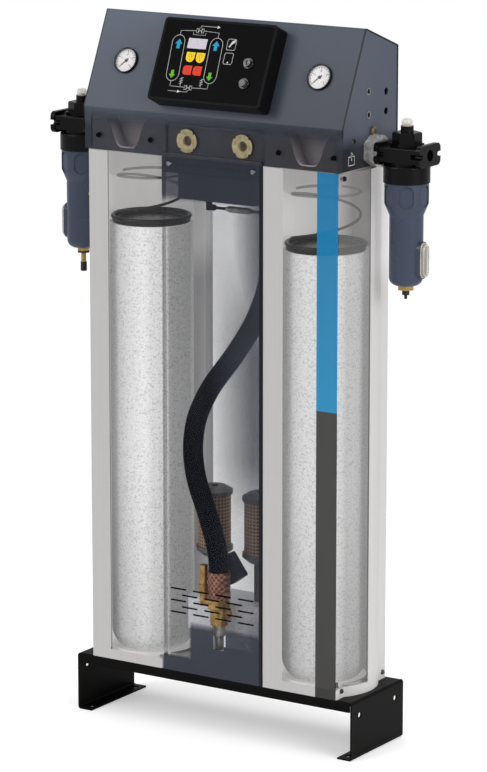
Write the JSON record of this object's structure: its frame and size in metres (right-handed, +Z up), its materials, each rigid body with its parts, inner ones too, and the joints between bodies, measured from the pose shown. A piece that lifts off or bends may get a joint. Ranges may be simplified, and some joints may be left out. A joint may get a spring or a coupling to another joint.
{
  "type": "desiccant air dryer",
  "caption": "Twin-column desiccant compressed-air dryer on a folded base, with a sloping control head, side filters and a see-through view of its insides.",
  "frame": {"origin": "middle of the four floor bolt holes, on the floor", "axes": "+Z up, +X to the right seen from the front, -Y to the front with the control box"},
  "size_m": [0.722, 0.1964, 1.2021],
  "materials": {
    "base_black": "black semi-gloss powder coat",
    "column_silver": "satin anodised extrusion",
    "cast_grey": "cast, bead blasted",
    "bead_white": "packed desiccant beads",
    "ring_dark": "dark coated steel",
    "spring_steel": "spring wire",
    "seat_bronze": "turned bronze",
    "poppet_steel": "turned stainless steel",
    "panel_slate": "slate powder coat",
    "head_blue_grey": "blue-grey powder coat",
    "box_black": "moulded black plastic",
    "film_black": "printed polyester film",
    "bezel_black": "moulded black plastic",
    "rotor_steel": "turned steel",
    "button_black": "moulded black plastic",
    "gauge_steel": "polished stainless steel",
    "clear": "clear",
    "needle_black": "matt black enamel",
    "filter_black": "black epoxy on die casting",
    "bowl_slate": "slate-blue epoxy on die casting",
    "brass": "turned brass",
    "nickel": "bright nickel plate",
    "hose_rubber": "smooth black rubber",
    "ferrule_copper": "crimped, passivated brass",
    "block_aluminium": "machined",
    "coil_black": "moulded coil",
    "silencer_cap": "pressed caps",
    "silencer_mesh": "sintered and woven bronze",
    "tube_black": "nylon fitting",
    "tube_grey": "nylon tube",
    "screw_steel": "zinc-plated screws"
  },
  "bodies": {
    "frame": {"base_frame": "base_black", "column_left": "column_silver", "column_right": "column_silver", "bottom_cap_left": "cast_grey", "bottom_cap_right": "cast_grey", "desiccant_bed_left": "bead_white", "desiccant_bed_right": "bead_white", "retainer_ring_left": "ring_dark", "retainer_ring_right": "ring_dark", "bed_spring_left": "spring_steel", "bed_spring_right": "spring_steel", "top_manifold": "cast_grey", "valve_seat_left": "seat_bronze", "valve_seat_right": "seat_bronze", "front_panel": "panel_slate", "rear_panel": "panel_slate", "head_cover": "head_blue_grey", "head_side_left": "head_blue_grey", "head_side_right": "head_blue_grey", "controller_housing": "box_black", "controller_fascia": "film_black", "switch_bezels": "bezel_black", "gauge_case_left": "gauge_steel", "gauge_case_right": "gauge_steel", "gauge_lens_left": "clear", "gauge_lens_right": "clear", "filter_head_left": "filter_black", "filter_head_right": "filter_black", "filter_bowl_left": "bowl_slate", "filter_bowl_right": "bowl_slate", "sight_glass_left": "clear", "sight_glass_right": "clear", "indicator_dome_left": "clear", "indicator_dome_right": "clear", "drain_valve_left": "brass", "drain_valve_right": "brass", "port_nipples": "nickel", "purge_hose": "hose_rubber", "hose_ferrules": "ferrule_copper", "hose_elbow": "brass", "valve_block": "block_aluminium", "solenoid_coil": "coil_black", "drain_check_valve": "nickel", "silencer_body_left": "silencer_cap", "silencer_body_right": "silencer_cap", "silencer_mesh_left": "silencer_mesh", "silencer_mesh_right": "silencer_mesh", "pilot_elbow": "tube_black", "pilot_tube": "tube_grey", "pilot_filter": "nickel", "flange_screws": "screw_steel", "panel_screws": "screw_steel"},
    "gauge_needle_left_body": {"gauge_needle_left": "needle_black"},
    "gauge_needle_right_body": {"gauge_needle_right": "needle_black"},
    "key_switch_rotor_body": {"key_switch_rotor": "rotor_steel"},
    "reset_button_body": {"reset_button": "button_black"},
    "valve_poppet_left_body": {"valve_poppet_left": "poppet_steel"},
    "valve_poppet_right_body": {"valve_poppet_right": "poppet_steel"},
    "indicator_piston_left_body": {"indicator_piston_left": "brass"},
    "indicator_piston_right_body": {"indicator_piston_right": "brass"}
  },
  "joints": [
    {"name": "gauge_left_turn", "type": "hinge", "parent": "frame", "child": "gauge_needle_left_body", "pos_m": [-0.188, -0.05112, 1.12368], "axis": [0, 0.9103, -0.414], "range_deg": [0, 270], "stiffness_Nm_per_rad": 0.001},
    {"name": "gauge_right_turn", "type": "hinge", "parent": "frame", "child": "gauge_needle_right_body", "pos_m": [0.188, -0.05112, 1.12368], "axis": [0, 0.9103, -0.414], "range_deg": [0, 270], "stiffness_Nm_per_rad": 0.001},
    {"name": "key_turn", "type": "hinge", "parent": "frame", "child": "key_switch_rotor_body", "pos_m": [0.071, -0.07843, 1.13995], "axis": [0, 0.9103, -0.414], "range_deg": [0, 90]},
    {"name": "reset_press", "type": "slide", "parent": "frame", "child": "reset_button_body", "axis": [0, 0.9103, -0.414], "range_m": [0, 0.003], "stiffness_N_per_m": 300, "springref_m": -0.001},
    {"name": "poppet_left_lift", "type": "slide", "parent": "frame", "child": "valve_poppet_left_body", "axis": [0, 1, 0], "range_m": [0, 0.005], "stiffness_N_per_m": 500, "springref_m": -0.002},
    {"name": "indicator_left_rise", "type": "slide", "parent": "frame", "child": "indicator_piston_left_body", "axis": [0, 0, 1], "range_m": [0, 0.003], "stiffness_N_per_m": 200, "springref_m": -0.001},
    {"name": "poppet_right_lift", "type": "slide", "parent": "frame", "child": "valve_poppet_right_body", "axis": [0, 1, 0], "range_m": [0, 0.005], "stiffness_N_per_m": 500, "springref_m": -0.002},
    {"name": "indicator_right_rise", "type": "slide", "parent": "frame", "child": "indicator_piston_right_body", "axis": [0, 0, 1], "range_m": [0, 0.003], "stiffness_N_per_m": 200, "springref_m": -0.001}
  ]
}
